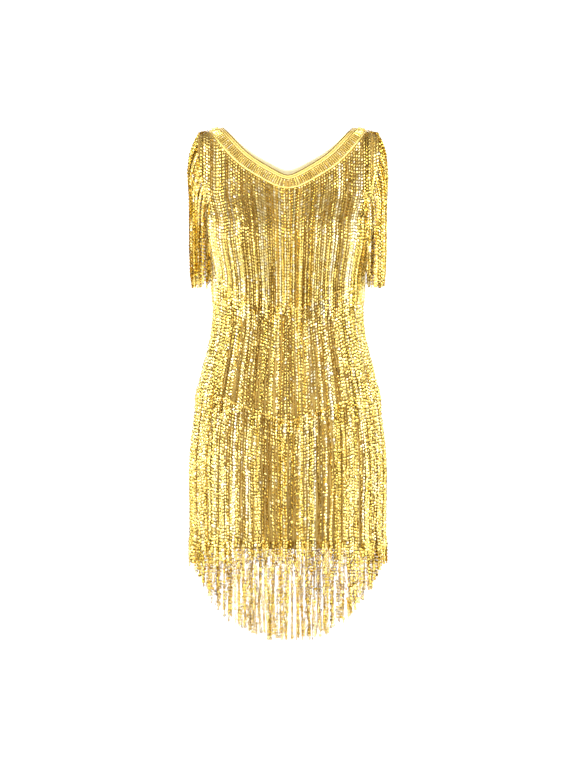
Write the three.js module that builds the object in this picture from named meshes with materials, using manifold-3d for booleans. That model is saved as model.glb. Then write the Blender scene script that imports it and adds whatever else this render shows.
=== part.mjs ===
// Flapper dress: a sleeveless V-neck sheath with rows of sequin strings, filled out and hollow as
// when it is worn. Millimetres, +Z up, front towards -Y. The origin lies midway between the two
// neck points, at the height of the shoulder seams there.

import * as THREE from 'three';
import { mergeVertices } from 'three/addons/utils/BufferGeometryUtils.js';
import Module from 'manifold-3d';

const wasm = await Module();
wasm.setup();

// Driving dimensions. "down" is the distance below the neck points, so z = -down.
const WALL = 2;
const GAP = 0.3;
const NECK_POINT_X = 115;
const SHOULDER_SLOPE = 0.267;
const UNDERARM_DOWN = 165;
const HEM_DOWN = 753;
const ROUND_POWER = 0.75;
const RIDGE_FADE = { from: 70, to: UNDERARM_DOWN };

const BINDING = { width: 9.5, thick: 1.2 };
const TRIM = { width: 14.5, thick: 1.4 };
const BRAID = { width: 3, thick: 1.8 };
const SLEEVE_BRAID = { width: 8, thick: 1.6, lowest: 118 };
const HEM_BRAID = { top: 736, bottom: 748, thick: 1.6 };
const STRAND = { across: 3.2, deep: 2, root: 1.8 };

const SIDE_STEPS = 10;
const HEM_STRANDS_PER_FACET = 3;
const SLEEVE_STRANDS = 22;

// Half-width of the body, seen from the front
const OUTLINE = [
  { down: -10, half: 186 },
  { down: 0, half: 185 },
  { down: 50, half: 181 },
  { down: 100, half: 168 },
  { down: 140, half: 156 },
  { down: 165, half: 150 },
  { down: 190, half: 147 },
  { down: 215, half: 143 },
  { down: 250, half: 136 },
  { down: 291, half: 131 },
  { down: 320, half: 129.5 },
  { down: 362, half: 132 },
  { down: 389, half: 137 },
  { down: 416, half: 145 },
  { down: 443, half: 152 },
  { down: 470, half: 157 },
  { down: 524, half: 165 },
  { down: 559, half: 170 },
  { down: 604, half: 174 },
  { down: 667, half: 172 },
  { down: 753, half: 171 },
];

// Depth of the front and the back from the plane of the shoulder seams
const DEPTH = [
  { down: 0, front: 0, back: 0 },
  { down: 1, front: 9, back: 9 },
  { down: 4, front: 19, back: 19 },
  { down: 10, front: 30, back: 31 },
  { down: 20, front: 40, back: 42 },
  { down: 36, front: 49, back: 54 },
  { down: 60, front: 58, back: 66 },
  { down: 90, front: 68, back: 77 },
  { down: 118, front: 79, back: 86 },
  { down: 150, front: 99, back: 92 },
  { down: 190, front: 117, back: 96 },
  { down: 215, front: 115, back: 94 },
  { down: 250, front: 102, back: 88 },
  { down: 291, front: 91, back: 82 },
  { down: 320, front: 88, back: 80 },
  { down: 362, front: 93, back: 86 },
  { down: 416, front: 101, back: 102 },
  { down: 470, front: 108, back: 118 },
  { down: 524, front: 111, back: 124 },
  { down: 559, front: 112, back: 125 },
  { down: 667, front: 111, back: 121 },
  { down: 753, front: 110, back: 119 },
];

// Neck edge from the bottom of the V to the neck point
const NECK = {
  front: [
    { x: 0, down: 85.5 },
    { x: 6, down: 84 },
    { x: 15, down: 80 },
    { x: 34, down: 69.5 },
    { x: 59, down: 54 },
    { x: 76, down: 40.5 },
    { x: 91.5, down: 24.5 },
    { x: 104, down: 11 },
    { x: 115, down: 0 },
  ],
  back: [
    { x: 0, down: 75 },
    { x: 6, down: 74 },
    { x: 15, down: 70.5 },
    { x: 34, down: 60.5 },
    { x: 59, down: 46.5 },
    { x: 76, down: 34.5 },
    { x: 91.5, down: 21 },
    { x: 104, down: 9.5 },
    { x: 115, down: 0 },
  ],
};

// Armhole edge from the underarm to the shoulder tip, as a share of the body's half-width
const ARMHOLE = [
  { down: 165, share: 1 },
  { down: 160, share: 0.985 },
  { down: 147, share: 0.955 },
  { down: 126, share: 0.915 },
  { down: 101, share: 0.888 },
  { down: 76, share: 0.885 },
  { down: 52, share: 0.888 },
  { down: 34, share: 0.888 },
  { down: 21, share: 0.882 },
  { down: 12, share: 0.865 },
];

// Rows of the panels below the underarm: the depth at the centre and how far the row rises to
// the side seam, so that the rows follow the chevrons of the fringe tiers
const ROWS = [
  { down: 165, rise: 0 },
  { down: 190, rise: 6 },
  { down: 215, rise: 14 },
  { down: 243, rise: 24 },
  { down: 272, rise: 35 },
  { down: 302, rise: 46 },
  { down: 330, rise: 53 },
  { down: 333, rise: 53 },
  { down: 362, rise: 54 },
  { down: 394, rise: 56 },
  { down: 427, rise: 58 },
  { down: 460, rise: 59 },
  { down: 494, rise: 60 },
  { down: 527, rise: 60 },
  { down: 530, rise: 60 },
  { down: 575, rise: 46 },
  { down: 622, rise: 30 },
  { down: 680, rise: 13 },
  { down: HEM_BRAID.top, rise: 0 },
  { down: HEM_BRAID.bottom, rise: 0 },
  { down: HEM_DOWN, rise: 0 },
];
const WAIST_BRAID_ROW = 6;
const HIP_BRAID_ROW = 13;
const HEM_BRAID_ROW = 18;

// Lower outline of the hem fringe: longest at the centre, shortest at the side seams
const FRINGE_CENTRE_DOWN = 916;
const FRINGE_SIDE_DOWN = 775;
const FRINGE_CURVE = 2.6;
const FRINGE_RAGGED = 9;
const HEM_SWAY = {
  middle: { out: 1.2, across: 1.1 },
  tip: { out: 1.6, across: 1.7 },
};

// Fringe of the sleeves: how far its strings stand out from the armhole, and where they end
const ROOT_FROM_EDGE = 0.25;
const SLEEVE_TIP_DOWN = 284;
const SLEEVE_RAGGED = 8;
const SLEEVE_BULGE = [15, 9];
const SLEEVE_DRAW_IN = 6;
const SLEEVE_LEAD = 4;
const SLEEVE_SWAY = 1.2;
const SLEEVE_HANG = [
  { fall: 8, out: 0.8 },
  { fall: 34, out: 1 },
];

// Step along the neck edge to its tangent, how late the columns turn along the shoulder seam
// towards the neck point, and the distance within which points are one
const NECK_EDGE_STEP = 0.5;
const SEAM_PULL = 6;
const SAME_PLACE = 1e-5;

// Reads a table as one smooth curve that keeps the rises and falls of its rows
function readCurve(rows, key, column, at) {
  const last = rows.length - 1;
  if (at <= rows[0][key]) return rows[0][column];
  if (at >= rows[last][key]) return rows[last][column];
  const slope = (k) => (rows[k + 1][column] - rows[k][column]) / (rows[k + 1][key] - rows[k][key]);
  const tangent = (k) => {
    if (k === 0) return slope(0);
    if (k === last) return slope(last - 1);
    const before = slope(k - 1);
    const after = slope(k);
    return before * after <= 0 ? 0 : (2 * before * after) / (before + after);
  };
  const i = rows.findIndex((row, k) => k < last && at < rows[k + 1][key]);
  const span = rows[i + 1][key] - rows[i][key];
  const t = (at - rows[i][key]) / span;
  const t2 = t * t;
  const t3 = t2 * t;
  return (2 * t3 - 3 * t2 + 1) * rows[i][column] + (t3 - 2 * t2 + t) * span * tangent(i)
    + (3 * t2 - 2 * t3) * rows[i + 1][column] + (t3 - t2) * span * tangent(i + 1);
}

const halfWidth = (down) => readCurve(OUTLINE, 'down', 'half', down);

// Height of the shoulder line over the neck points' level, falling outwards
const ridge = (x) => SHOULDER_SLOPE * (NECK_POINT_X - Math.abs(x));

// A point of the body's surface. "turn" is 0 at the centre and 90 degrees at the side seam.
function bodyPoint(face, turn, down) {
  const half = halfWidth(down);
  const x = half * Math.sin(turn);
  const fade = THREE.MathUtils.clamp(
    (RIDGE_FADE.to - down) / (RIDGE_FADE.to - RIDGE_FADE.from), 0, 1);
  const drop = Math.max(down + ridge(x) * fade, 0);
  const depth = readCurve(DEPTH, 'down', face, drop);
  const across = Math.max(Math.cos(turn), 0) ** ROUND_POWER;
  const sign = face === 'front' ? -1 : 1;
  return new THREE.Vector3(x, sign * (depth * across + GAP / 2), -down);
}

function bodyNormal(face, turn, down) {
  const step = 0.004;
  const reach = 0.6;
  const limit = Math.PI / 2 - step;
  const t = THREE.MathUtils.clamp(turn, -limit, limit);
  const across = bodyPoint(face, t + step, down).sub(bodyPoint(face, t - step, down));
  const along = bodyPoint(face, t, down + reach).sub(bodyPoint(face, t, down - reach));
  const normal = along.cross(across).normalize();
  return face === 'front' ? normal : normal.negate();
}

// Normal on the side seam, level with the seam's own plane
function sideNormal(side, down) {
  const reach = 1;
  const flare = (halfWidth(down + reach) - halfWidth(down - reach)) / (2 * reach);
  return new THREE.Vector3(side, 0, flare).normalize();
}

const shoulderNormal = (side) => new THREE.Vector3(side * SHOULDER_SLOPE, 0, 1).normalize();

// Walks over the surface from the neck edge, square to it, and returns the places reached
function walkFromNeck(face, start, heading, distances) {
  const stepLength = 1;
  const places = [];
  let { turn, down } = start;
  let walked = 0;
  let way = heading.clone();
  for (const distance of distances) {
    while (walked < distance - SAME_PLACE) {
      const length = Math.min(stepLength, distance - walked);
      const small = 0.002;
      const here = bodyPoint(face, turn, down);
      const byTurn = bodyPoint(face, turn + small, down).sub(here).divideScalar(small);
      const byDown = bodyPoint(face, turn, down + small).sub(here).divideScalar(small);
      const aa = byTurn.dot(byTurn);
      const bb = byDown.dot(byDown);
      const ab = byTurn.dot(byDown);
      const wa = way.dot(byTurn);
      const wb = way.dot(byDown);
      const determinant = aa * bb - ab * ab;
      const turnStep = (wa * bb - wb * ab) / determinant;
      const downStep = (wb * aa - wa * ab) / determinant;
      const moved = byTurn.multiplyScalar(turnStep).add(byDown.multiplyScalar(downStep));
      const scale = length / moved.length();
      turn += turnStep * scale;
      down += downStep * scale;
      way = moved.normalize();
      walked += length;
    }
    places.push({ turn, down });
  }
  return places;
}

const turnAt = (x, down) => Math.asin(THREE.MathUtils.clamp(x / halfWidth(down), -1, 1));

// Grid of the yoke, the part of a panel between its neck edge, its armholes and the underarm
// line. Columns run from the neck outwards: the first ones to the underarm line, the others to
// the armhole, and the last one is the shoulder seam. Built for the right side, then mirrored.
const ARM_STEPS = ARMHOLE.length - 1;
const YOKE_COLUMNS = SIDE_STEPS + ARM_STEPS;
const NECK_DISTANCES = [
  0,
  BINDING.width,
  BINDING.width + TRIM.width,
  BINDING.width + TRIM.width + BRAID.width,
];
const YOKE_SHARES = [0.36, 0.7];

function neckPlace(face, x) {
  return { x, down: readCurve(NECK[face], 'x', 'down', x) };
}

function outerPlace(column) {
  if (column <= SIDE_STEPS) {
    return { turn: (column / SIDE_STEPS) * (Math.PI / 2), down: UNDERARM_DOWN };
  }
  const row = ARMHOLE[column - SIDE_STEPS];
  return { turn: Math.asin(row.share), down: row.down };
}

function yokeColumn(face, column) {
  const share = column / YOKE_COLUMNS;
  const neck = neckPlace(face, NECK_POINT_X * share);
  const outer = outerPlace(column);
  if (column === YOKE_COLUMNS) {
    return shoulderColumn(face, outer);
  }
  const start = { turn: turnAt(neck.x, neck.down), down: neck.down };
  const here = bodyPoint(face, start.turn, start.down);
  const near = neckPlace(face, neck.x + NECK_EDGE_STEP);
  const edge = bodyPoint(face, turnAt(near.x, near.down), near.down).sub(here).normalize();
  const normal = bodyNormal(face, start.turn, start.down);
  const square = edge.clone().cross(normal).normalize();
  if (square.z > 0) square.negate();
  if (column === 0) square.set(0, square.y, square.z).normalize();
  const seamWay = new THREE.Vector3(1, 0, -SHOULDER_SLOPE).normalize();
  const heading = square.lerp(seamWay, share ** SEAM_PULL).normalize();
  const places = [start, ...walkFromNeck(face, start, heading, NECK_DISTANCES.slice(1))];
  const last = places[places.length - 1];
  const between = (part) => ({
    turn: THREE.MathUtils.lerp(last.turn, outer.turn, part),
    down: THREE.MathUtils.lerp(last.down, outer.down, part),
  });
  const rest = bodyPoint(face, last.turn, last.down)
    .distanceTo(bodyPoint(face, outer.turn, outer.down));
  const edgeShare = 1 - SLEEVE_BRAID.width / rest;
  for (const part of YOKE_SHARES) places.push(between(part * edgeShare));
  places.push(between(edgeShare), outer);
  return places;
}

function shoulderColumn(face, outer) {
  const tipX = halfWidth(outer.down) * Math.sin(outer.turn);
  const length = (tipX - NECK_POINT_X) * Math.hypot(1, SHOULDER_SLOPE);
  const first = NECK_DISTANCES[NECK_DISTANCES.length - 1];
  const edge = length - SLEEVE_BRAID.width;
  const distances = [...NECK_DISTANCES];
  for (const share of YOKE_SHARES) distances.push(first + (edge - first) * share);
  distances.push(edge, length);
  return distances.map((distance) => {
    const x = NECK_POINT_X + distance / Math.hypot(1, SHOULDER_SLOPE);
    const down = (x - NECK_POINT_X) * SHOULDER_SLOPE;
    return { turn: turnAt(x, down), down };
  });
}

// One panel as an open sheet: its points, its outward normals and the faces between them
function makePanel(face) {
  const points = [];
  const normals = [];
  const faces = [];
  const yoke = new Map();
  const skirt = new Map();
  const name = (column, row) => `${column}/${row}`;
  const columns = [];
  for (let column = 0; column <= YOKE_COLUMNS; column += 1) columns.push(yokeColumn(face, column));
  const yokeRows = columns[0].length - 1;

  const place = (side, turn, down, normal) => {
    points.push(bodyPoint(face, side * turn, down));
    normals.push(normal ?? bodyNormal(face, side * turn, down));
    return points.length - 1;
  };
  for (let column = -YOKE_COLUMNS; column <= YOKE_COLUMNS; column += 1) {
    const side = column < 0 ? -1 : 1;
    const atShoulder = Math.abs(column) === YOKE_COLUMNS;
    columns[Math.abs(column)].forEach(({ turn, down }, row) => {
      const atSide = Math.abs(column) === SIDE_STEPS && row === yokeRows;
      let normal;
      if (atShoulder) normal = shoulderNormal(side);
      if (atSide) normal = sideNormal(side, down);
      yoke.set(name(column, row), place(side, turn, down, normal));
    });
  }
  for (let column = -SIDE_STEPS; column <= SIDE_STEPS; column += 1) {
    const side = column < 0 ? -1 : 1;
    const turn = (Math.abs(column) / SIDE_STEPS) * (Math.PI / 2);
    skirt.set(name(column, 0), yoke.get(name(column, yokeRows)));
    ROWS.forEach((row, index) => {
      if (index === 0) return;
      const down = row.down - row.rise * Math.sin(turn);
      const normal = Math.abs(column) === SIDE_STEPS ? sideNormal(side, down) : undefined;
      skirt.set(name(column, index), place(side, turn, down, normal));
    });
  }

  const addQuads = (grid, firstColumn, lastColumn, rows) => {
    for (let column = firstColumn; column < lastColumn; column += 1) {
      for (let row = 0; row < rows; row += 1) {
        const corners = [
          grid.get(name(column, row)),
          grid.get(name(column, row + 1)),
          grid.get(name(column + 1, row + 1)),
          grid.get(name(column + 1, row)),
        ];
        if (face === 'back') corners.reverse();
        const [a, b, c, d] = corners;
        const halves = column < 0 ? [[a, b, d], [b, c, d]] : [[a, b, c], [a, c, d]];
        faces.push(...halves);
      }
    }
  };
  addQuads(yoke, -YOKE_COLUMNS, YOKE_COLUMNS, yokeRows);
  addQuads(skirt, -SIDE_STEPS, SIDE_STEPS, ROWS.length - 1);
  return { face, points, normals, faces, yoke, skirt, yokeRows };
}

function geometryOf(positions, faces) {
  const geometry = new THREE.BufferGeometry();
  geometry.setAttribute('position', new THREE.Float32BufferAttribute(positions.flat(), 3));
  geometry.setIndex(faces.flat());
  return geometry;
}

// Gives an open sheet its thickness, from one distance off its points to another
function thicken(sheet, low, high) {
  const { points, normals, faces } = sheet;
  const positions = [];
  for (const lift of [high, low]) {
    points.forEach((point, i) => {
      positions.push(point.clone().addScaledVector(normals[i], lift).toArray());
    });
  }
  const count = points.length;
  const solid = [...faces];
  const open = new Map();
  for (const [a, b, c] of faces) {
    solid.push([a + count, c + count, b + count]);
    for (const [from, to] of [[a, b], [b, c], [c, a]]) {
      if (!open.delete(`${to}/${from}`)) open.set(`${from}/${to}`, [from, to]);
    }
  }
  for (const [from, to] of open.values()) {
    solid.push([to, from, from + count], [to, from + count, to + count]);
  }
  return tidy(geometryOf(positions, solid));
}

// Drops points that no face uses, and merges those that share a place
function tidy(geometry) {
  const loose = geometry.toNonIndexed();
  loose.deleteAttribute('normal');
  loose.deleteAttribute('uv');
  return mergeVertices(loose, SAME_PLACE);
}

// A strip of a panel between two places on each of its columns. A place is a row number, and a
// share of the way to the next row.
function stripSheet(panel, grid, firstColumn, lastColumn, from, to) {
  const sheet = { points: [], normals: [], faces: [] };
  const count = lastColumn - firstColumn + 1;
  for (const share of [from, to]) {
    for (let column = firstColumn; column <= lastColumn; column += 1) {
      const spot = panelSpot(panel, grid, column, share);
      sheet.points.push(spot.point);
      sheet.normals.push(spot.normal);
    }
  }
  for (let i = 0; i < count - 1; i += 1) {
    const corners = [i, i + count, i + count + 1, i + 1];
    if (panel.face === 'back') corners.reverse();
    const [a, b, c, d] = corners;
    const halves = firstColumn + i < 0 ? [[a, b, d], [b, c, d]] : [[a, b, c], [a, c, d]];
    sheet.faces.push(...halves);
  }
  return sheet;
}

function panelSpot(panel, grid, column, share) {
  const row = Math.floor(share);
  const rest = share - row;
  const upper = grid.get(`${column}/${row}`);
  const lower = rest > 0 ? grid.get(`${column}/${row + 1}`) : upper;
  return {
    point: panel.points[upper].clone().lerp(panel.points[lower], rest),
    normal: panel.normals[upper].clone().lerp(panel.normals[lower], rest).normalize(),
  };
}

// Closed tube through rings of points, with flat ends made of the triangles or quads given. Each
// side quad is split one way or the other, so that it can match the panel beside it.
function loft(rings, caps, splitsBack = () => false) {
  const positions = rings.flat().map((point) => point.toArray());
  const size = rings[0].length;
  const faces = [];
  for (let i = 0; i < rings.length - 1; i += 1) {
    for (let k = 0; k < size; k += 1) {
      const a = i * size + k;
      const b = i * size + ((k + 1) % size);
      if (splitsBack(i, k)) faces.push([a, a + size, b + size], [a, b + size, b]);
      else faces.push([a, a + size, b], [b, a + size, b + size]);
    }
  }
  const end = (rings.length - 1) * size;
  for (const [a, b, c, d] of caps) {
    faces.push([a, b, c], [end + a, end + c, end + b]);
    if (d !== undefined) faces.push([a, c, d], [end + a, end + d, end + c]);
  }
  return facedOutwards(tidy(geometryOf(positions, faces)));
}

function facedOutwards(geometry) {
  const at = geometry.attributes.position;
  const index = geometry.index;
  const [a, b, c] = [new THREE.Vector3(), new THREE.Vector3(), new THREE.Vector3()];
  let volume = 0;
  for (let i = 0; i < index.count; i += 3) {
    a.fromBufferAttribute(at, index.getX(i));
    b.fromBufferAttribute(at, index.getX(i + 1));
    c.fromBufferAttribute(at, index.getX(i + 2));
    volume += a.dot(b.cross(c));
  }
  if (volume < 0) {
    for (let i = 0; i < index.count; i += 3) {
      const first = index.getX(i);
      index.setX(i, index.getX(i + 1));
      index.setX(i + 1, first);
    }
  }
  return geometry;
}

// Folded satin strip over the neck edge: a leg outside, a leg inside and a fold on top
function makeBinding(panel) {
  const rings = [];
  for (let column = -YOKE_COLUMNS; column <= YOKE_COLUMNS; column += 1) {
    const top = panelSpot(panel, panel.yoke, column, 0);
    const foot = panelSpot(panel, panel.yoke, column, 1);
    const up = top.point.clone().sub(foot.point).normalize();
    const at = (spot, rise, lift) => spot.point.clone().addScaledVector(up, rise)
      .addScaledVector(spot.normal, lift);
    const outside = GAP + BINDING.thick;
    const inside = -WALL - GAP - BINDING.thick;
    rings.push([
      at(foot, 0, outside),
      at(top, outside, outside),
      at(top, outside, inside),
      at(foot, 0, inside),
      at(foot, 0, -WALL - GAP),
      at(top, GAP, -WALL - GAP),
      at(top, GAP, GAP),
      at(foot, 0, GAP),
    ]);
  }
  const onBack = panel.face === 'back';
  const underFold = 5;
  const runsDown = (k) => k === 2 || k === 6;
  const splitsBack = (i, k) => {
    if (k === underFold) return onBack;
    return ((i < YOKE_COLUMNS) !== runsDown(k)) !== onBack;
  };
  return loft(rings, [[0, 1, 6, 7], [1, 2, 5, 6], [2, 3, 4, 5]], splitsBack);
}

// Three-sided strand along a path of places, each with the point and the way across it. Its
// flat side faces the body and its edge faces out.
function makeStrand(path) {
  const rings = path.map(({ point, across, out }) => {
    const wide = across.clone().multiplyScalar(STRAND.across / 2);
    const deep = out.clone().multiplyScalar(STRAND.deep / 2);
    return [
      point.clone().add(deep),
      point.clone().sub(wide).sub(deep),
      point.clone().add(wide).sub(deep),
    ];
  });
  return loft(rings, [[0, 1, 2]]);
}

function toManifold(geometry) {
  return new wasm.Manifold(new wasm.Mesh({
    numProp: 3,
    vertProperties: new Float32Array(geometry.attributes.position.array),
    triVerts: new Uint32Array(geometry.index.array),
  }));
}

function joined(geometries) {
  let whole = toManifold(geometries[0]);
  for (const geometry of geometries.slice(1)) whole = whole.add(toManifold(geometry));
  const mesh = whole.getMesh();
  const geometry = new THREE.BufferGeometry();
  geometry.setAttribute('position', new THREE.BufferAttribute(mesh.vertProperties, 3));
  geometry.setIndex(new THREE.BufferAttribute(mesh.triVerts, 1));
  return geometry;
}

// Repeatable uneven numbers from -1 to 1, for the sway and the length of the strands. Each use
// has a series of its own.
const UNEVEN = { pace: 12.9898, start: 4.1, spread: 43758.5453, series: 1000 };
const uneven = (i, series) => {
  const at = i + series * UNEVEN.series;
  const wave = Math.sin(at * UNEVEN.pace + UNEVEN.start) * UNEVEN.spread;
  return 2 * (wave - Math.floor(wave)) - 1;
};

// Free strings of the hem: they hang outside the wall from a braid just above the hem
function makeHemFringe(panel) {
  const sheet = stripSheet(
    panel, panel.skirt, -SIDE_STEPS, SIDE_STEPS, HEM_BRAID_ROW, HEM_BRAID_ROW + 1);
  const parts = [thicken(sheet, GAP, GAP + HEM_BRAID.thick)];
  const upright = new THREE.Vector3(0, 0, 1);
  const total = 2 * SIDE_STEPS * HEM_STRANDS_PER_FACET;
  for (let i = 0; i < total; i += 1) {
    const along = (i + 0.5) / HEM_STRANDS_PER_FACET - SIDE_STEPS;
    const column = Math.floor(along);
    const share = along - column;
    const left = panelSpot(panel, panel.skirt, column, HEM_BRAID_ROW + 0.5);
    const right = panelSpot(panel, panel.skirt, column + 1, HEM_BRAID_ROW + 0.5);
    const root = left.point.clone().lerp(right.point, share);
    const across = right.point.clone().sub(left.point).setZ(0).normalize();
    const out = across.clone().cross(upright).normalize();
    if (out.dot(left.normal) < 0) out.negate();
    root.addScaledVector(out, STRAND.root);
    const reach = Math.abs(root.x) / halfWidth(HEM_DOWN);
    const tipDown = FRINGE_CENTRE_DOWN
      - (FRINGE_CENTRE_DOWN - FRINGE_SIDE_DOWN) * Math.min(reach, 1) ** FRINGE_CURVE
      - FRINGE_RAGGED * Math.abs(uneven(i, 0));
    const swayed = (down, sway, series) => root.clone().setZ(-down)
      .addScaledVector(out, sway.out).addScaledVector(across, sway.across * uneven(i, series));
    const middle = swayed((tipDown + HEM_DOWN) / 2, HEM_SWAY.middle, 1);
    const tip = swayed(tipDown, HEM_SWAY.tip, 2);
    parts.push(makeStrand([root, middle, tip].map((point) => ({ point, across, out }))));
  }
  return joined(parts);
}

// Free strings of a sleeve: a braid round the upper armhole, and strings that arc out over the
// shoulder's edge and hang beside the body
function makeSleeveFringe(panels, side) {
  const lowest = SIDE_STEPS + ARMHOLE.findIndex((row) => row.down < SLEEVE_BRAID.lowest);
  const [first, last] = side > 0 ? [lowest, YOKE_COLUMNS] : [-YOKE_COLUMNS, -lowest];
  const strips = [panels.front, panels.back].map((panel) => stripSheet(
    panel, panel.yoke, first, last, panel.yokeRows - 1, panel.yokeRows));
  const braid = bridged(strips, side);
  const parts = [thicken(braid, GAP, GAP + SLEEVE_BRAID.thick)];

  const count = last - first + 1;
  const fromSeam = side > 0 ? (i) => count - 1 - i : (i) => i;
  const places = [];
  strips.forEach((strip, back) => {
    for (let i = 0; i < count; i += 1) {
      const inner = fromSeam(back ? i : count - 1 - i);
      const edge = inner + count;
      places.push({
        point: strip.points[edge].clone().lerp(strip.points[inner], ROOT_FROM_EDGE),
        normal: strip.normals[edge].clone().lerp(strip.normals[inner], ROOT_FROM_EDGE).normalize(),
        outward: strip.points[edge].clone().sub(strip.points[inner]).normalize(),
      });
    }
  });
  const [start, end] = [places[0].point.y, places[places.length - 1].point.y];
  for (let i = 0; i < SLEEVE_STRANDS; i += 1) {
    const y = THREE.MathUtils.lerp(start, end, (i + 0.5) / SLEEVE_STRANDS);
    parts.push(makeStrand(sleevePath(placeAtDepth(places, y), side, i)));
  }
  return joined(parts);
}

// The front and the back strip of a sleeve braid as one sheet over the shoulder seam
function bridged([front, back], side) {
  const shift = front.points.length;
  const count = shift / 2;
  const seam = side > 0 ? count - 1 : 0;
  const frontEnd = [seam, seam + count];
  const backEnd = [seam + shift, seam + count + shift];
  const [[a, b], [d, c]] = side > 0 ? [frontEnd, backEnd] : [backEnd, frontEnd];
  return {
    points: [...front.points, ...back.points],
    normals: [...front.normals, ...back.normals],
    faces: [
      ...front.faces,
      ...back.faces.map((corners) => corners.map((corner) => corner + shift)),
      [a, b, c],
      [a, c, d],
    ],
  };
}

// The place on the braid at a given y, with the braid's own direction there
function placeAtDepth(places, y) {
  const k = places.findIndex((place, i) => i > 0 && place.point.y >= y) - 1;
  const [from, to] = [places[k], places[k + 1]];
  const share = (y - from.point.y) / (to.point.y - from.point.y);
  return {
    point: from.point.clone().lerp(to.point, share),
    normal: from.normal.clone().lerp(to.normal, share).normalize(),
    outward: from.outward.clone().lerp(to.outward, share).normalize(),
    along: to.point.clone().sub(from.point).normalize(),
  };
}

// A sleeve string leaves the braid flat over its edge, arcs out and hangs
function sleevePath(root, side, i) {
  const bulge = SLEEVE_BULGE[i % 2];
  const start = root.point.clone().addScaledVector(root.normal, STRAND.root);
  const lead = start.clone().addScaledVector(root.outward, SLEEVE_LEAD);
  const across = new THREE.Vector3(0, 1, 0);
  const out = new THREE.Vector3(side, 0, 0);
  const along = root.along.clone().multiplyScalar(Math.sign(root.along.y));
  const path = [start, lead].map((point) => ({ point, across: along, out: root.normal }));
  for (const hang of SLEEVE_HANG) {
    const x = THREE.MathUtils.lerp(lead.x, start.x + side * bulge, hang.out);
    path.push({ point: new THREE.Vector3(x, lead.y, lead.z - hang.fall), across, out });
  }
  const tip = new THREE.Vector3(
    start.x + side * (bulge - SLEEVE_DRAW_IN),
    lead.y + SLEEVE_SWAY * uneven(i, 3),
    -SLEEVE_TIP_DOWN + SLEEVE_RAGGED * Math.abs(uneven(i, 4)));
  path.push({ point: tip, across, out });
  return path;
}

const material = (color, roughness, metalness) => new THREE.MeshStandardMaterial({
  color, roughness, metalness, side: THREE.FrontSide,
});
const FINISH = {
  cloth: () => material(0xd9b95c, 0.45, 0.5),
  satin: () => material(0xe3c877, 0.4, 0.1),
  trim: () => material(0xb8923a, 0.3, 0.8),
  braid: () => material(0xf0d98c, 0.45, 0.4),
  strings: () => material(0xe0bd58, 0.3, 0.8),
};

const dress = new THREE.Group();
function add(name, geometry, finish) {
  geometry.computeVertexNormals();
  const mesh = new THREE.Mesh(geometry, FINISH[finish]());
  mesh.name = name;
  dress.add(mesh);
}

const panels = { front: makePanel('front'), back: makePanel('back') };
for (const [face, panel] of Object.entries(panels)) {
  const onYoke = (from, to) => stripSheet(
    panel, panel.yoke, -YOKE_COLUMNS, YOKE_COLUMNS, from, to);
  const onSkirt = (row) => stripSheet(
    panel, panel.skirt, -SIDE_STEPS, SIDE_STEPS, row, row + 1);
  const trimInset = GAP / TRIM.width;
  const braidInset = GAP / BRAID.width;
  add(`${face}_panel`, thicken(panel, -WALL, 0), 'cloth');
  add(`${face}_neck_binding`, makeBinding(panel), 'satin');
  add(`${face}_neck_trim`, thicken(onYoke(1 + trimInset, 2), GAP, GAP + TRIM.thick), 'trim');
  add(`${face}_neck_braid`, thicken(onYoke(2 + braidInset, 3), GAP, GAP + BRAID.thick), 'braid');
  add(`${face}_waist_braid`, thicken(onSkirt(WAIST_BRAID_ROW), GAP, GAP + BRAID.thick), 'braid');
  add(`${face}_hip_braid`, thicken(onSkirt(HIP_BRAID_ROW), GAP, GAP + BRAID.thick), 'braid');
  add(`${face}_hem_fringe`, makeHemFringe(panel), 'strings');
}
add('left_sleeve_fringe', makeSleeveFringe(panels, 1), 'strings');
add('right_sleeve_fringe', makeSleeveFringe(panels, -1), 'strings');

export default dress;
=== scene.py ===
import math

import bmesh
import bpy
import numpy as np
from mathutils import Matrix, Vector
from mathutils.bvhtree import BVHTree


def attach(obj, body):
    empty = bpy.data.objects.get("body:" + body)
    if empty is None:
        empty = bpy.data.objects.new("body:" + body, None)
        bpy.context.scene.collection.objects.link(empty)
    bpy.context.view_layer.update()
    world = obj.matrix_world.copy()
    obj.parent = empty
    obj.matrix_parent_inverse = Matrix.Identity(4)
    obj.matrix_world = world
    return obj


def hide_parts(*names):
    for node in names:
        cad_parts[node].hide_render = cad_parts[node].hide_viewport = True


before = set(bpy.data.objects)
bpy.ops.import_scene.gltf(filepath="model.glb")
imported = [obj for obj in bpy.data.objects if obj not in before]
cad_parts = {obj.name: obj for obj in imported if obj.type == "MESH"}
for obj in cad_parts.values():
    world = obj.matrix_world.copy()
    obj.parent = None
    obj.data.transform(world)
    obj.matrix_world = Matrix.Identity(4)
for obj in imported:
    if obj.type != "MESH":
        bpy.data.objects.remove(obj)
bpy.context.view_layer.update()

# Front and back.
# Each is cut in one piece from shoulder to hem in stretch mesh, the ground that all the strings
# are sewn to. The seams run over the shoulders and down the sides.
CLOTH_THICKNESS = 0.0012
SKIN_LEVELS = 2
FOLD_OF_A_RIM = math.radians(50)
QUAD_BEND, QUAD_SKEW = math.radians(40), math.radians(60)
SAME_PLACE = 1e-6
SEAM_REACH = 0.0004
# Both cloth tones are darker than the mesh's own gold: partly its own colour, partly painted
# shade between and under the strings.
CLOTH_DEEP, CLOTH_LIGHT = (0.20, 0.12, 0.015), (0.46, 0.31, 0.06)


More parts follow.
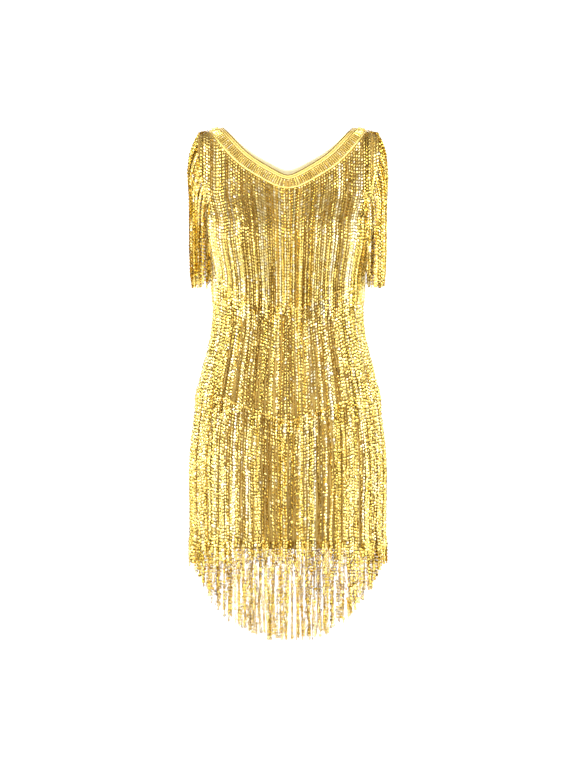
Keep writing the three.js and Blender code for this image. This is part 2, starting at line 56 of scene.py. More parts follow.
def outer_skin(node):
    """The outer side of a packed wall, as an open sheet with the wall's own outline."""
    sheet = bmesh.new()
    sheet.from_mesh(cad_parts[node].data)
    bmesh.ops.remove_doubles(sheet, verts=sheet.verts, dist=SAME_PLACE)
    rims = [e for e in sheet.edges if e.is_manifold and e.calc_face_angle() > FOLD_OF_A_RIM]
    bmesh.ops.split_edges(sheet, edges=rims)
    sides, seen = [], set()
    for first in sheet.faces:
        if first in seen:
            continue
        seen.add(first)
        side, waiting = [], [first]
        while waiting:
            face = waiting.pop()
            side.append(face)
            for near in (f for e in face.edges for f in e.link_faces if f not in seen):
                seen.add(near)
                waiting.append(near)
        sides.append((sum(f.calc_area() for f in side), side))
    outer = set(max(sides, key=lambda s: s[0])[1])
    bmesh.ops.delete(sheet, geom=[f for f in sheet.faces if f not in outer], context="FACES")
    for v in sheet.verts:
        if abs(v.co.y) < SEAM_REACH:
            v.co.y = 0
    bmesh.ops.join_triangles(sheet, faces=sheet.faces, cmp_seam=False, cmp_sharp=False,
                             cmp_uvs=False, cmp_vcols=False, cmp_materials=False,
                             angle_face_threshold=QUAD_BEND, angle_shape_threshold=QUAD_SKEW)
    return sheet


def new_piece(name, mesh, material):
    piece = bpy.data.objects.new(name, mesh)
    bpy.context.collection.objects.link(piece)
    piece.data.materials.append(material)
    return piece


def bake_modifiers(piece):
    """The piece's mesh as its modifiers leave it, kept in place of the modifiers."""
    ready = piece.evaluated_get(bpy.context.evaluated_depsgraph_get())
    mesh = bpy.data.meshes.new_from_object(ready)
    piece.modifiers.clear()
    piece.data = mesh
    return mesh


def keep(piece, slot, *nodes):
    """What every piece of the dress needs: it rides on the one body, and the nodes it stands for
    are hidden. The slot is not used.
    """
    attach(piece, "root")
    if nodes:
        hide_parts(*nodes)
    return piece


def shader(name, roughness, metallic=0.0):
    material = bpy.data.materials.new(name)
    material.use_nodes = True
    nodes = material.node_tree.nodes
    surface = nodes["Principled BSDF"]
    surface.inputs["Roughness"].default_value = roughness
    surface.inputs["Metallic"].default_value = metallic
    return material, nodes, material.node_tree.links, surface


def ramp(nodes, stops):
    """A colour ramp with stops of place and linear colour."""
    tint = nodes.new("ShaderNodeValToRGB")
    while len(tint.color_ramp.elements) < len(stops):
        tint.color_ramp.elements.new(0.5)
    for element, (place, colour) in zip(tint.color_ramp.elements, stops):
        element.position = place
        element.color = (*colour, 1)
    return tint


def mesh_cloth():
    material, nodes, links, surface = shader("mesh_cloth", 0.75)
    surface.inputs["Sheen Weight"].default_value = 0.3
    where = nodes.new("ShaderNodeTexCoord")
    weave = nodes.new("ShaderNodeTexVoronoi")
    weave.inputs["Scale"].default_value = 700
    streak = nodes.new("ShaderNodeMapping")
    streak.inputs["Scale"].default_value = (1, 1, 0.03)
    mottle = nodes.new("ShaderNodeTexNoise")
    mottle.inputs["Scale"].default_value = 260
    tint = ramp(nodes, [(0.3, CLOTH_DEEP), (0.7, CLOTH_LIGHT)])
    relief = nodes.new("ShaderNodeBump")
    relief.inputs["Strength"].default_value = 0.4
    relief.inputs["Distance"].default_value = 0.0004
    links.new(where.outputs["Object"], weave.inputs["Vector"])
    links.new(where.outputs["Object"], streak.inputs["Vector"])
    links.new(streak.outputs["Vector"], mottle.inputs["Vector"])
    links.new(mottle.outputs["Fac"], tint.inputs["Fac"])
    links.new(tint.outputs["Color"], surface.inputs["Base Color"])
    links.new(weave.outputs["Distance"], relief.inputs["Height"])
    links.new(relief.outputs["Normal"], surface.inputs["Normal"])
    return material


cloth_finish = mesh_cloth()
skins = bmesh.new()
for face in ("front", "back"):
    sheet = outer_skin(f"{face}_panel")
    mesh = bpy.data.meshes.new(f"{face}_cloth")
    sheet.to_mesh(mesh)
    sheet.free()
    cloth = new_piece(f"{face}_cloth", mesh, cloth_finish)
    smooth = cloth.modifiers.new("smooth", "SUBSURF")
    smooth.levels = smooth.render_levels = SKIN_LEVELS
    smooth.boundary_smooth = "PRESERVE_CORNERS"
    skins.from_mesh(bake_modifiers(cloth))
    thick = cloth.modifiers.new("thick", "SOLIDIFY")
    thick.thickness = CLOTH_THICKNESS
    thick.offset = -1
    cloth.data.shade_smooth()
    keep(cloth, "base_cloth", f"{face}_panel")

skins.normal_update()
skin_tree = BVHTree.FromBMesh(skins)

# Neck edge.
# The binding, the sequin trim and the neck braid follow it at fixed distances, measured over
# the cloth, and the first tier of strings hangs from the last of them.
NECK_REACH = 0.1155
NECK_LOWEST = -0.095
NECK_PITCH = 0.0036
SEAM_SLOPE = 0.267
SEAM_PULL = 10
EDGE_INSET = 0.002
WALK_STEP = 0.0015
DOWN = Vector((0, 0, -1))


def spaced(points, pitch, across=(1, 1, 1)):
    """A line run again at an even pitch, which counts the x, y and z lengths by across."""
    line = np.array([tuple(p) for p in points])
    parts = np.linalg.norm(np.diff(line, axis=0) * np.array(across), axis=1)
    lengths = np.concatenate([[0], np.cumsum(parts)])
    steps = max(round(lengths[-1] / pitch), 1)
    marks = np.linspace(0, lengths[-1], steps + 1)
    return [Vector([np.interp(m, lengths, line[:, k]) for k in range(3)]) for m in marks]


def walk(point, way, distance):
    """The place reached over the cloth from a point, the normal there and the way on."""
    normal = skin_tree.find_nearest(point)[1]
    count = math.ceil(abs(distance) / WALK_STEP)
    for _ in range(count):
        point, normal, _, _ = skin_tree.find_nearest(point + way * (distance / count))
        way = (way - normal * way.dot(normal)).normalized()
    return point, normal, way


def free_edge(wanted, order):
    """The skins' free edge where it passes a test, in order."""
    places = {v.co.copy().freeze() for v in skins.verts if v.is_boundary and wanted(v.co)}
    return sorted(places, key=order)


def neck_ways(face):
    """Evenly spaced places on a neck edge from right to left, and the way out from each."""
    side = -1 if face == "front" else 1
    edge = free_edge(lambda p: (abs(p.x) < NECK_REACH and p.z > NECK_LOWEST
                                and side * p.y > -SAME_PLACE), lambda p: p.x)
    line = spaced(edge, NECK_PITCH)
    ways = []
    for i, point in enumerate(line):
        run = (line[min(i + 2, len(line) - 1)] - line[max(i - 2, 0)]).normalized()
        normal = skin_tree.find_nearest(point + DOWN * EDGE_INSET)[1]
        way = run.cross(normal).normalized()
        if way.z > 0:
            way.negate()
        seam = Vector((math.copysign(1, point.x), 0, -SEAM_SLOPE)).normalized()
        ways.append(way.lerp(seam, (abs(point.x) / NECK_REACH) ** SEAM_PULL).normalized())
    return line, ways


def strip(name, columns, marks, material):
    """An open sheet through columns of points, with a mark for each line along it.

    Its attribute "where" holds the place along and across the strip.
    """
    mesh = bpy.data.meshes.new(name)
    wide = len(columns[0])
    points = [p for column in columns for p in column]
    quads = [(i * wide + k, (i + 1) * wide + k, (i + 1) * wide + k + 1, i * wide + k + 1)
             for i in range(len(columns) - 1) for k in range(wide - 1)]
    mesh.from_pydata([tuple(p) for p in points], [], quads)
    along = np.concatenate([[0], np.cumsum([(b[0] - a[0]).length
                                            for a, b in zip(columns, columns[1:])])])
    across = np.concatenate([[0], np.cumsum([(b - a).length
                                             for a, b in zip(columns[0], columns[0][1:])])])
    where = mesh.attributes.new("where", "FLOAT_VECTOR", "POINT")
    where.data.foreach_set("vector", [n for i in range(len(columns)) for k in range(wide)
                                      for n in (along[i], across[k], 0)])
    mark = mesh.attributes.new("mark", "FLOAT", "POINT")
    mark.data.foreach_set("value", [m for _ in columns for m in marks])
    piece = new_piece(name, mesh, material)
    soft = piece.modifiers.new("soft", "SUBSURF")
    soft.levels = soft.render_levels = 1
    mesh.shade_smooth()
    return piece


necks = {face: neck_ways(face) for face in ("front", "back")}

# Neck binding, front and back.
# A folded strip of gold satin, stitched down in two raised lines outside. Its plain pale
# under-leg shows inside the opposite neck edge, and glows faintly: painted light.
LEAST_WALK = 0.0001
# Mark 0 in the low channel under the fold is painted shade; mark 0.7 on the two raised lines is a
# painted highlight.
# Distance below the edge, height off the cloth and mark of the colour, from inside to outside.
BINDING = [(0.0092, -0.0030, 1.0), (0.0062, -0.0031, 1.0), (0.0032, -0.0031, 1.0),
           (0.0010, -0.0030, 1.0), (-0.0001, -0.0022, 1.0), (-0.0003, -0.0008, 0.9),
           (0.0000, 0.0004, 0.6), (0.0010, 0.0008, 0.0), (0.0022, 0.0008, 0.0),
           (0.0032, 0.0015, 0.7), (0.0044, 0.0009, 0.35), (0.0064, 0.0010, 0.35),
           (0.0076, 0.0015, 0.7), (0.0087, 0.0012, 0.4), (0.0094, 0.0003, 0.0)]


def satin():
    material, nodes, links, surface = shader("satin_binding", 0.38, 0.35)
    mark = nodes.new("ShaderNodeAttribute")
    mark.attribute_name = "mark"
    where = nodes.new("ShaderNodeAttribute")
    where.attribute_name = "where"
    tint = ramp(nodes, [(0.0, (0.10, 0.06, 0.01)), (0.35, (0.42, 0.28, 0.05)),
                        (0.7, (0.88, 0.64, 0.20)), (1.0, (0.95, 0.84, 0.50))])
    pucker = nodes.new("ShaderNodeTexWave")
    pucker.bands_direction = "X"
    pucker.inputs["Scale"].default_value = 110
    pucker.inputs["Distortion"].default_value = 2.5
    relief = nodes.new("ShaderNodeBump")
    relief.inputs["Strength"].default_value = 0.45
    relief.inputs["Distance"].default_value = 0.0006
    links.new(mark.outputs["Fac"], tint.inputs["Fac"])
    links.new(tint.outputs["Color"], surface.inputs["Base Color"])
    # Marks over 0.75, the pale under-leg and the fold, glow in their own tint up to 0.16: painted
    # light on the under-leg, which sits in shade inside the neck.
    glow = nodes.new("ShaderNodeMapRange")
    glow.inputs["From Min"].default_value = 0.75
    glow.inputs["To Max"].default_value = 0.16
    links.new(mark.outputs["Fac"], glow.inputs["Value"])
    links.new(tint.outputs["Color"], surface.inputs["Emission Color"])
    links.new(glow.outputs["Result"], surface.inputs["Emission Strength"])
    links.new(where.outputs["Vector"], pucker.inputs["Vector"])
    links.new(pucker.outputs["Fac"], relief.inputs["Height"])
    links.new(relief.outputs["Normal"], surface.inputs["Normal"])
    return material


satin_finish = satin()
trimmings = {"front": [], "back": []}
for face, (line, ways) in necks.items():
    columns = []
    for point, way in zip(line, ways):
        column = []
        for distance, height, _ in BINDING:
            place, normal, _ = walk(point, way, max(distance, LEAST_WALK))
            column.append(place + way * min(distance, 0) + normal * height)
        columns.append(column)
    binding = strip(f"{face}_binding", columns, [m for _, _, m in BINDING], satin_finish)
    keep(binding, "satin_binding", f"{face}_neck_binding")
    trimmings[face].append(binding)

# Sequin strings.
# Each string is a thread with cupped 6 mm sequins of gold film sewn on so close that they touch.
# It lies down the cloth, and its sequins turn about the thread. Tones run on down a string.
SEQUIN = {"radius": 0.0030, "hole": 0.0009, "cup": 0.0006, "sides": 8}
STEP = 0.0059
LONGEST = 60
TRAIL_PARTS = 4
SWAY_KEPT = 0.97
TILT_SPREAD = 0.7
TONE = {"middle": 0.56, "string": 0.08, "sequin": 0.10, "kept": 0.55}
# A share of the sequins is lifted towards the palest, near-white tints: painted glint.
PAINTED_GLINT = {"share": 0.07, "lift": 0.4}
YOKE = {"height": -0.12, "half": 0.166}
ARMHOLE_FOOT = -0.165
SIDE_SHARE, SIDE_REACH = 0.8, 0.05
OPEN_OUT = 0.03
CLOTH_END = -0.752
MEASURED = (-0.75, -0.169, 0.01)
LOOK_FROM, LOOK_REACH = 0.2, 0.3
FAR, OFF_SEAM, OFF_MIDDLE = 0.4, 0.0004, 0.0001
random = np.random.default_rng(1926)


def half_sizes():
    """Levels up the dress with its half width, and its half depth in front and behind."""
    table = []
    for z in np.arange(*MEASURED):
        side = skin_tree.ray_cast(Vector((FAR, OFF_SEAM, z)), Vector((-1, 0, 0)))[0]
        front = skin_tree.ray_cast(Vector((OFF_MIDDLE, -FAR, z)), Vector((0, 1, 0)))[0]
        back = skin_tree.ray_cast(Vector((OFF_MIDDLE, FAR, z)), Vector((0, -1, 0)))[0]
        if side and front and back:
            table.append((z, side.x, -front.y, back.y))
    table.append((YOKE["height"], YOKE["half"], *table[-1][2:]))
    return np.array(table).T


SIZES = half_sizes()


def half_size(z, side):
    """Half width and half depth of one side of the dress at a height."""
    return (np.interp(z, SIZES[0], SIZES[k]) for k in (1, 2 if side < 0 else 3))


def lay(start, side, floor, sway):
    """Points down a string over one side of the cloth, and the cloth's normal at each of them.

    It keeps its share of the way round the dress, so that strings stay evenly spaced.
    """
    width, depth = half_size(start.z, side)
    share = max(-1, min(1, start.x / width))
    turn = math.asin(share)
    if start.z < ARMHOLE_FOOT + SIDE_REACH and abs(share) > SIDE_SHARE:
        turn = math.atan2(start.x / width, max(side * start.y, 0) / depth)
    trail, bend, z = [skin_tree.find_nearest(start)[0]], 0.0, start.z
    while z > floor(trail[-1]) and len(trail) < LONGEST * TRAIL_PARTS:
        z -= STEP / TRAIL_PARTS
        bend = bend * SWAY_KEPT + random.normal(0, sway)
        width, depth = half_size(z, side)
        open_share = min(max((ARMHOLE_FOOT - z) / OPEN_OUT, 0), 1)
        aim = turn + bend
        way = Vector((math.sin(aim) / width * open_share, side * math.cos(aim) / depth, 0))
        way.normalize()
        place = Vector((width * math.sin(aim), side * depth * math.cos(aim), z))
        hit = skin_tree.ray_cast(place + way * LOOK_FROM, -way, LOOK_REACH)[0]
        below = trail[-1] + DOWN * (STEP / TRAIL_PARTS)
        if z < CLOTH_END:
            hit = below
        elif not hit or (hit - trail[-1]).length > STEP:
            hit = skin_tree.find_nearest(below)[0]
        trail.append(hit)
    points = spaced(trail, STEP)
    normals = [skin_tree.find_nearest(p)[1] for p in points]
    return np.array([tuple(p) for p in points]), np.array([tuple(n) for n in normals])


def sequin_shape():
    """One cupped sequin with its hole, about the origin and facing +Z."""
    shape = bmesh.new()
    bmesh.ops.create_circle(shape, segments=SEQUIN["sides"], radius=SEQUIN["radius"])
    ring = bmesh.ops.extrude_edge_only(shape, edges=shape.edges[:])
    hole = [v for v in ring["geom"] if isinstance(v, bmesh.types.BMVert)]
    share = SEQUIN["hole"] / SEQUIN["radius"]
    bmesh.ops.scale(shape, vec=(share, share, 1), verts=hole)
    bmesh.ops.translate(shape, vec=(0, 0, -SEQUIN["cup"]), verts=hole)
    bmesh.ops.recalc_face_normals(shape, faces=shape.faces)
    shape.faces.ensure_lookup_table()
    if shape.faces[0].normal.z < 0:
        bmesh.ops.reverse_faces(shape, faces=shape.faces)
    shape.verts.index_update()
    corners = np.array([v.co for v in shape.verts])
    quads = np.array([[v.index for v in f.verts] for f in shape.faces])
    shape.free()
    return corners, quads


sequin_corners, sequin_quads = sequin_shape()
sequin_reach = (sequin_corners[:, 2] > -SEQUIN["cup"] / 2).astype(float)


def unit(vectors):
    return vectors / np.linalg.norm(vectors, axis=1, keepdims=True)


def turned(points, normals, turn, wander, flutter, tilt, shade=TONE["middle"]):
    """Each sequin of one string: its place, its ways across, along and out, and its tone."""
    count = len(points)
    along = unit(np.gradient(points, axis=0))
    out = unit(normals - (normals * along).sum(1, keepdims=True) * along)
    across = np.cross(along, out)
    drift = np.cumsum(random.normal(0, wander, count))
    angle = (turn + drift + random.normal(0, flutter, count))[:, None]
    facing = out * np.cos(angle) + across * np.sin(angle)
    lean = np.abs(random.normal(tilt, tilt * TILT_SPREAD, count))[:, None]
    wide = np.cross(along, facing)
    high = -along * np.cos(lean) - facing * np.sin(lean)
    tone = random.normal(shade, TONE["string"]) + random.normal(0, TONE["sequin"], count)
    for k in range(1, count):
        tone[k] += TONE["kept"] * (tone[k - 1] - shade)
    # Painted glint: a few sequins lifted towards the palest tint.
    tone[random.random(count) < PAINTED_GLINT["share"]] += PAINTED_GLINT["lift"]
    return points, wide, high, np.cross(wide, high), np.clip(tone, 0, 1)


def sequins(name, strings, material, size=1.0):
    """All the sequins of many strings as one mesh, with a tone for each and its rim marked for
    painted shade.
    """
    centres, *ways, tones = (np.concatenate([s[k] for s in strings]) for k in range(5))
    count, corners = len(centres), len(sequin_corners)
    places = centres[:, None, :] + np.einsum("kc,ncd->nkd", sequin_corners * size,
                                             np.stack(ways, axis=1))
    faces = (sequin_quads[None] + np.arange(count)[:, None, None] * corners).reshape(-1, 4)
    mesh = bpy.data.meshes.new(name)
    mesh.vertices.add(count * corners)
    mesh.vertices.foreach_set("co", places.reshape(-1))
    mesh.loops.add(faces.size)
    mesh.loops.foreach_set("vertex_index", faces.reshape(-1))
    mesh.polygons.add(len(faces))
    mesh.polygons.foreach_set("loop_start", np.arange(0, faces.size, 4))
    mesh.update(calc_edges=True)
    tone = mesh.attributes.new("tone", "FLOAT", "POINT")
    tone.data.foreach_set("value", np.repeat(tones, corners))
    reach = mesh.attributes.new("reach", "FLOAT", "POINT")
    reach.data.foreach_set("value", np.tile(sequin_reach, count))
    return new_piece(name, mesh, material)


def sequin_gold():
    material, nodes, links, surface = shader("sequin_gold", 0.22, 1.0)
    surface.inputs["Specular Tint"].default_value = (1.0, 0.76, 0.30, 1)
    tone = nodes.new("ShaderNodeAttribute")
    tone.attribute_name = "tone"
    tint = ramp(nodes, [(0.0, (0.42, 0.28, 0.04)), (0.35, (0.86, 0.63, 0.15)),
                        (0.65, (0.97, 0.77, 0.24)), (0.85, (1.0, 0.87, 0.42)),
                        (1.0, (1.0, 0.93, 0.64))])
    gloss = nodes.new("ShaderNodeMapRange")
    gloss.inputs["To Min"].default_value = 0.16
    gloss.inputs["To Max"].default_value = 0.34
    # Each sequin's colour is darkened towards its hole and its outer rim: painted shade where the
    # sequins overlap and round the hole.
    reach = nodes.new("ShaderNodeAttribute")
    reach.attribute_name = "reach"
    edge = ramp(nodes, [(0.0, (0.25, 0.22, 0.20)), (0.14, (1, 1, 1)), (0.66, (1, 1, 1)),
                        (0.86, (0.45, 0.40, 0.34)), (1.0, (0.22, 0.17, 0.12))])
    shade = nodes.new("ShaderNodeMix")
    shade.data_type = "RGBA"
    shade.blend_type = "MULTIPLY"
    shade.inputs["Factor"].default_value = 1
    links.new(reach.outputs["Fac"], edge.inputs["Fac"])
    links.new(tone.outputs["Fac"], tint.inputs["Fac"])
    links.new(tint.outputs["Color"], shade.inputs["A"])
    links.new(edge.outputs["Color"], shade.inputs["B"])
    links.new(shade.outputs["Result"], surface.inputs["Base Color"])
    links.new(tone.outputs["Fac"], gloss.inputs["Value"])
    links.new(gloss.outputs["Result"], surface.inputs["Roughness"])
    return material


gold_finish = sequin_gold()

# Sequin trim, front and back.
# Short rows of sequins set on edge, side by side down the band, which reads as fine stripes.
TRIM_ROWS = [0.0118, 0.0146, 0.0174, 0.0202, 0.0222]
TRIM_SIZE = 0.56
TRIM_LIFT = 0.0030
TRIM_TURN = {"turn": 0.95, "wander": 0.02, "flutter": 0.04, "tilt": 0.1}

for face, (line, ways) in necks.items():
    rows = []
    for point, way in zip(line, ways):
        spots = [walk(point, way, distance) for distance in TRIM_ROWS]
        places = np.array([spot + normal * TRIM_LIFT for spot, normal, _ in spots])
        normals = np.array([normal for _, normal, _ in spots])
        inward = math.copysign(TRIM_TURN["turn"], point.x if face == "front" else -point.x)
        rows.append(turned(places, normals, **{**TRIM_TURN, "turn": inward}))
    trim = sequins(f"{face}_trim_sequins", rows, gold_finish, TRIM_SIZE)
    trimmings[face].append(keep(trim, "sequin_trim"))

# Bodice, skirt top and skirt bottom: the three tiers of strings on the cloth.
# The first hangs from the neck braid, the shoulders and the lower armholes, the second from the
# waist braid and the third from the hip braid. Each ends raggedly over the next braid.
PITCH = 0.0044
NECK_BRAID_AT = 0.0292
LEVELS = {"waist": (0.330, 0.277, 0.131), "hip": (0.527, 0.467, 0.168),
          "hem": (0.742, 0.742, 0.172)}
RAGGED = (-0.010, 0.040)
AROUND = (1, 1, 0)
UNDERARM = [(0.139, 0.049, -0.118), (0.144, 0.043, -0.137), (0.145, 0.036, -0.147),
            (0.148, 0.018, -0.157), (0.150, 0.003, -0.166)]
SHOULDER = {"tip": 0.158, "off_seam": 0.001}
BRAID = {"spots": 121, "near": 0.17, "tries": 3}


def level(name, below=0.0):
    """Height of a braid's line at a place: a chevron that rises from the centre to the sides."""
    centre, side, half = LEVELS[name]
    return lambda p: -(centre - (centre - side) * min(abs(p.x) / half, 1)) - below


def braid_line(name, face):
    """Places on the cloth along a braid of one face, from one side seam to the other."""
    side = -1 if face == "front" else 1
    line = []
    for angle in np.linspace(-math.pi / 2, math.pi / 2, BRAID["spots"]):
        out = Vector((math.sin(angle), side * math.cos(angle), 0))
        spot = out * BRAID["near"]
        for _ in range(BRAID["tries"]):
            spot = Vector((spot.x, spot.y, level(name)(spot)))
            hit = skin_tree.ray_cast(Vector((0, 0, spot.z)) + out * FAR, -out)[0]
            spot = hit if hit else spot
        line.append(spot)
    return spaced(line, PITCH, AROUND)


def bodice_line(face):
    """Starts of the bodice strings: under the armholes, over the shoulders and round the neck."""
    side = -1 if face == "front" else 1
    line, ways = necks[face]
    neck = [walk(point, way, NECK_BRAID_AT)[0] for point, way in zip(line, ways)]
    starts = spaced(neck, PITCH, (1, 0, 0))
    for hand in (-1, 1):
        under = [Vector((hand * x, side * y, z)) for x, y, z in UNDERARM]
        starts += [skin_tree.find_nearest(p)[0] for p in spaced(under, PITCH, AROUND)]
        top = skin_tree.find_nearest(neck[0 if hand < 0 else -1])[0]
        shoulder = [Vector((hand * x, side * SHOULDER["off_seam"],
                            top.z - SEAM_SLOPE * (x - abs(top.x))))
                    for x in (abs(top.x) + PITCH, SHOULDER["tip"])]
        starts += [skin_tree.find_nearest(p)[0] for p in spaced(shoulder, PITCH)]
    return starts


BODICE = {"lift": 0.0022, "sway": 0.0008, "turn": (0.80, 0.08), "flat": 0.02,
          "wander": 0.03, "flutter": 0.10, "tilt": 0.12}
SKIRT = {"lift": 0.0026, "sway": 0.0012, "turn": (0.78, 0.14), "flat": 0.12,
         "wander": 0.06, "flutter": 0.18, "tilt": 0.18}
TIERS = [{"name": "bodice", "from": None, "to": "waist", **BODICE},
         {"name": "skirt_top", "from": "waist", "to": "hip", **SKIRT},
         {"name": "skirt_bottom", "from": "hip", "to": "hem", **SKIRT}]
EVERY_OTHER = 0.0008
OVER_NEXT = {"lift": 0.0024, "before": 0.015}
INWARD = {"even": 0.5, "more": 0.44, "within": 0.04}

for tier in TIERS:
    for face, side in (("front", -1), ("back", 1)):
        starts = braid_line(tier["from"], face) if tier["from"] else bodice_line(face)
        next_braid = level(tier["to"])
        strings = []
        for number, start in enumerate(starts):
            points, normals = lay(start, side, level(tier["to"], random.uniform(*RAGGED)),
                                  tier["sway"])
            if len(points) < 2:
                continue
            past = np.array([next_braid(Vector(p)) - p[2] for p in points])
            over = np.clip(past / OVER_NEXT["before"] + 1, 0, 1)
            lift = tier["lift"] + EVERY_OTHER * (number % 2) + OVER_NEXT["lift"] * over
            points = points + normals * lift[:, None]
            turn = random.normal(*tier["turn"]) * (random.random() > tier["flat"])
            share = min(abs(start.x) / INWARD["within"], 1)
            inward = random.random() < INWARD["even"] + INWARD["more"] * share
            turn *= math.copysign(1, -side * start.x) * (1 if inward else -1)
            strings.append(turned(points, normals, turn, tier["wander"], tier["flutter"],
                                  tier["tilt"]))
        piece = sequins(f"{face}_{tier['name']}_strings", strings, gold_finish)
        trimmings[face].append(keep(piece, "sequin_strings"))

# Hem fringe, front and back.
# The last tier hangs free below the hem to an even arc, longest at the centre.
FRINGE = {"centre": 0.918, "side": 0.775, "half": 0.171, "curve": 2.6, "ragged": 0.009,
          "off": (0.002, 0.0035), "off_below": 0.003, "lean": 0.03, "sway": 0.025, "kept": 0.8}
# The hem strings' lower shade makes their sequins a darker copy of the same gold: painted shade.
HEM_TURN = {"wander": 0.25, "flutter": 0.45, "tilt": 0.15, "shade": 0.30}


def aside(spread):
    """A random level vector."""
    return Vector((random.normal(0, spread), random.normal(0, spread), 0))


def hem_string(start):
    """Points of a free string from the hem braid to the arc of tips, and which way is out."""
    share = min(abs(start.x) / FRINGE["half"], 1)
    tip = FRINGE["centre"] - (FRINGE["centre"] - FRINGE["side"]) * share ** FRINGE["curve"]
    floor = -(tip - random.uniform(0, FRINGE["ragged"]))
    spot, normal, _, _ = skin_tree.find_nearest(start)
    point = spot + normal * random.uniform(*FRINGE["off"])
    lean, bend = aside(FRINGE["lean"]), Vector()
    points, normals = [], []
    while point.z > floor:
        points.append(point)
        normals.append(normal)
        bend = bend * FRINGE["kept"] + aside(FRINGE["sway"])
        point = point + (DOWN + lean + bend).normalized() * STEP
        if point.z > CLOTH_END:
            spot, normal, _, _ = skin_tree.find_nearest(point)
            point = spot + normal * FRINGE["off_below"]
    return np.array(points), np.array(normals)


for face in ("front", "back"):
    strings = []
    for start in braid_line("hem", face):
        points, normals = hem_string(start)
        if len(points) > 1:
            strings.append(turned(points, normals, random.uniform(0, math.pi), **HEM_TURN))
    fringe = sequins(f"{face}_hem_strings", strings, gold_finish)
    trimmings[face].append(keep(fringe, "sequin_strings", f"{face}_hem_fringe"))

# Sleeve fringe, left and right.
# Strings from a braid round the upper armhole. They arc out over the shoulder tip and hang like
# a short sleeve to just above the waist.
SLEEVE = {"pitch": 0.0050, "lowest": -0.118, "highest": -0.008, "inmost": 0.13,
          "middle": -0.09, "tip": -0.284, "ragged": 0.024, "longer": 0.004, "low": 0.35,
          "more": 0.65, "spread": 0.05, "splay": 3, "off": 0.002, "sway": 0.0001, "kept": 0.9}
# The sleeve strings' lower shade makes their sequins a slightly darker copy of the same gold:
# painted shade.
SLEEVE_TURN = {"wander": 0.10, "flutter": 0.12, "tilt": 0.12, "shade": 0.50}
SLEEVE_ACROSS = (1, 0.3, 1)
SLICE = 0.001
SLEEVE_ARC = [(0.0, 0.0), (0.012, 0.006), (0.030, 0.0125), (0.055, 0.0150), (0.090, 0.0125),
              (0.130, 0.0120), (0.190, 0.0115), (0.235, 0.0100), (0.290, 0.0050)]


def sleeve_string(start, hand):
    """Points of a free string that arcs out from the armhole edge and hangs, and its way out."""
    height = max((start.z - SLEEVE["lowest"]) / -SLEEVE["lowest"], 0)
    reach = SLEEVE["low"] + SLEEVE["more"] * height ** 0.5 + random.normal(0, SLEEVE["spread"])
    out = Vector((hand, start.y * SLEEVE["splay"], 0)).normalized()
    drops, outs = zip(*SLEEVE_ARC)
    floor = SLEEVE["tip"] - random.uniform(-SLEEVE["ragged"], SLEEVE["longer"])
    down, points, bend = 0.0, [], 0.0
    while start.z - down > floor:
        bend = bend * SLEEVE["kept"] + random.normal(0, SLEEVE["sway"])
        away = out * (np.interp(down, drops, outs) * reach + SLEEVE["off"])
        points.append(start + away + Vector((bend, 0, -down)))
        rise = np.interp(down + SLICE, drops, outs) - np.interp(down, drops, outs)
        down += STEP / math.hypot(1, rise * reach / SLICE)
    return np.array(points), np.array([out] * len(points))


for side, hand in (("left", 1), ("right", -1)):
    edge = free_edge(lambda p: (hand * p.x > SLEEVE["inmost"]
                                and SLEEVE["lowest"] < p.z < SLEEVE["highest"]),
                     lambda p: math.atan2(p.y, p.z - SLEEVE["middle"]))
    strings = []
    for start in spaced(edge, SLEEVE["pitch"], SLEEVE_ACROSS):
        points, normals = sleeve_string(start, hand)
        strings.append(turned(points, normals, random.uniform(0, math.pi), **SLEEVE_TURN))
    fringe = sequins(f"{side}_sleeve_strings", strings, gold_finish)
    keep(fringe, "sequin_strings", f"{side}_sleeve_fringe")
    trimmings["front"].append(fringe)

# Braids of the neck and tiers.
# Narrow bands of bright stitched thread that carry the strings.


def thread_braid():
    material, nodes, links, surface = shader("stitched_braid", 0.35, 0.7)
    where = nodes.new("ShaderNodeTexCoord")
    stitch = nodes.new("ShaderNodeTexVoronoi")
    stitch.inputs["Scale"].default_value = 520
    tint = ramp(nodes, [(0.1, (1.0, 0.83, 0.32)), (0.6, (0.78, 0.56, 0.13))])
    relief = nodes.new("ShaderNodeBump")
    relief.inputs["Strength"].default_value = 0.7
    relief.inputs["Distance"].default_value = 0.0008
    links.new(where.outputs["Object"], stitch.inputs["Vector"])
    links.new(stitch.outputs["Distance"], tint.inputs["Fac"])
    links.new(tint.outputs["Color"], surface.inputs["Base Color"])
    links.new(stitch.outputs["Distance"], relief.inputs["Height"])
    links.new(relief.outputs["Normal"], surface.inputs["Normal"])
    return material


braid_finish = thread_braid()
# The CAD trims under the sequin trim take the dark cloth finish: painted shade beneath the trim
# sequins.
for name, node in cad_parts.items():
    if "braid" in name or "trim" in name:
        node.data.materials.clear()
        node.data.materials.append(braid_finish if "braid" in name else cloth_finish)

# Stage.
# A pale floor far below the dress and a white surround. Soft studio light comes from above, in
# front, behind and both sides.
FLOOR = -1.4
FLOOR_HALF = 10
CAMERA = {"away": 30.0, "height": -0.459, "lens": 785.6, "sensor": 36}
MIDDLE, RIM_AIM = (0, 0, -0.46), (0, 0, -0.2)
PAPER_GLOW, SKY_STRENGTH = 0.6, 1.5
# Brightness of the surround from straight below to straight above, white at the horizon.
SKY = [(0.0, 0.58), (0.44, 0.72), (0.47, 1.0), (0.53, 1.0), (0.56, 0.74), (0.63, 0.74),
       (0.78, 0.31), (1.0, 0.25)]


def plane(name, corners, material):
    mesh = bpy.data.meshes.new(name)
    mesh.from_pydata(corners, [], [(0, 1, 2, 3)])
    sheet = new_piece(name, mesh, material)
    return sheet


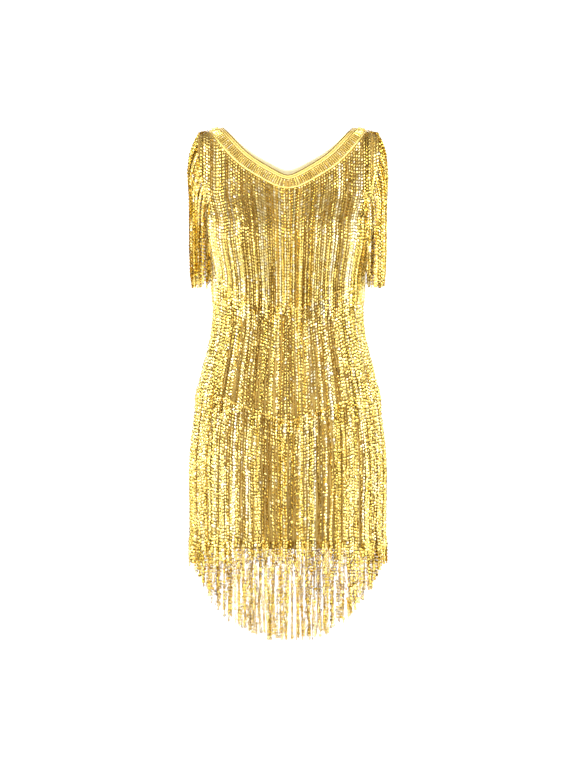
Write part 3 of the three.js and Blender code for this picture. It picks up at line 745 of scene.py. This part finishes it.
def lamp(name, place, size, power, aim=MIDDLE):
    light = bpy.data.lights.new(name, "AREA")
    light.shape = "RECTANGLE"
    light.size, light.size_y = size
    light.energy = power
    holder = bpy.data.objects.new(name, light)
    bpy.context.collection.objects.link(holder)
    holder.location = place
    holder.rotation_euler = (Vector(aim) - Vector(place)).to_track_quat("-Z", "Y").to_euler()


paper, _, _, paper_surface = shader("white_paper", 0.9)
paper_surface.inputs["Base Color"].default_value = (0.9, 0.9, 0.9, 1)
paper_surface.inputs["Emission Color"].default_value = (1, 1, 1, 1)
paper_surface.inputs["Emission Strength"].default_value = PAPER_GLOW
plane("floor", [(x * FLOOR_HALF, y * FLOOR_HALF, FLOOR)
                for x, y in ((-1, -1), (1, -1), (1, 1), (-1, 1))], paper)
for hand in (-1, 1):
    lamp(f"side_{hand + 1}", place=(hand * 2.5, -1.5, 0.55), size=(1.0, 1.9), power=17)
    lamp(f"rim_{hand + 1}", place=(hand * 2.7, -0.1, 0.75), size=(1.4, 0.5), power=34,
         aim=RIM_AIM)
lamp("front", place=(0, -2.5, 1.2), size=(2.4, 1.0), power=84)
lamp("back", place=(0, 2.8, 0.9), size=(2.4, 1.0), power=30)
lamp("top", place=(0, -0.6, 1.9), size=(1.6, 0.8), power=8)

world = bpy.data.worlds.new("studio")
bpy.context.scene.world = world
world.use_nodes = True
sky = world.node_tree
way = sky.nodes.new("ShaderNodeTexCoord")
parts = sky.nodes.new("ShaderNodeSeparateXYZ")
height = sky.nodes.new("ShaderNodeMapRange")
height.inputs["From Min"].default_value = -1
glow = ramp(sky.nodes, [(z, (g, g, g)) for z, g in SKY])
sky.links.new(way.outputs["Generated"], parts.inputs["Vector"])
sky.links.new(parts.outputs["Z"], height.inputs["Value"])
sky.links.new(height.outputs["Result"], glow.inputs["Fac"])
sky.links.new(glow.outputs["Color"], sky.nodes["Background"].inputs["Color"])
sky.nodes["Background"].inputs["Strength"].default_value = SKY_STRENGTH
bpy.context.scene.view_settings.view_transform = "Standard"

camera = bpy.data.cameras.new("camera")
camera.lens = CAMERA["lens"]
camera.sensor_fit = "VERTICAL"
camera.sensor_height = CAMERA["sensor"]
shot = bpy.data.objects.new("camera", camera)
bpy.context.collection.objects.link(shot)
shot.location = (0, -CAMERA["away"], CAMERA["height"])
shot.rotation_euler = (math.pi / 2, 0, 0)
bpy.context.scene.camera = shot
